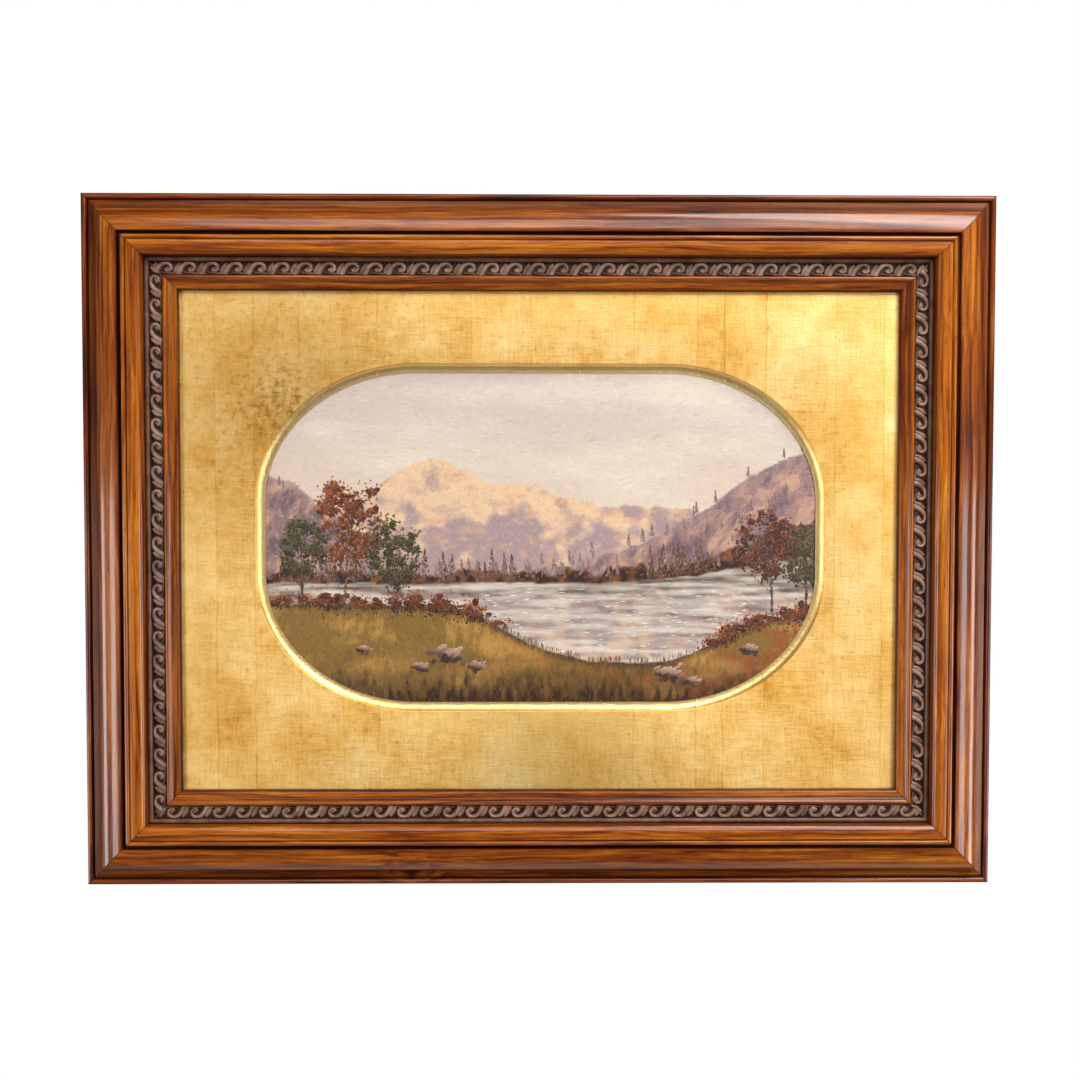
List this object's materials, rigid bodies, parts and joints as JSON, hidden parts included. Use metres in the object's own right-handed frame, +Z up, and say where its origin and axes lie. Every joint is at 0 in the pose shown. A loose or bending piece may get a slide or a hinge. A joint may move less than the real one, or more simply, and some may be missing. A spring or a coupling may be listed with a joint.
{
  "type": "framed oil painting",
  "caption": "Framed landscape painting: mitred moulded oak frame with a dark carved scroll strip, gilded inner panel with a round-cornered window, and a painted board.",
  "frame": {"origin": "middle of the top rail's flat back face, where the frame bears on the wall", "axes": "+X to the viewer's right along the top rail, +Y into the wall, +Z up. The painted side faces -Y."},
  "size_m": [0.645, 0.0308, 0.4901],
  "materials": {
    "oak": "stained oak, satin varnish",
    "dark_oak": "dark stained carved strip, worn on its high points",
    "gold_leaf": "gold leaf laid in squares over primed wood, lightly rubbed",
    "oil_paint": "oil paint on primed canvas board, varnished",
    "backing": "bare thin board, aged"
  },
  "bodies": {
    "root": {"rail_top": "oak", "rail_right": "oak", "rail_bottom": "oak", "rail_left": "oak", "scroll_strip_top": "dark_oak", "scroll_strip_right": "dark_oak", "scroll_strip_bottom": "dark_oak", "scroll_strip_left": "dark_oak", "gilded_mat": "gold_leaf", "painted_board": "oil_paint", "backing_board": "backing"}
  },
  "joints": []
}
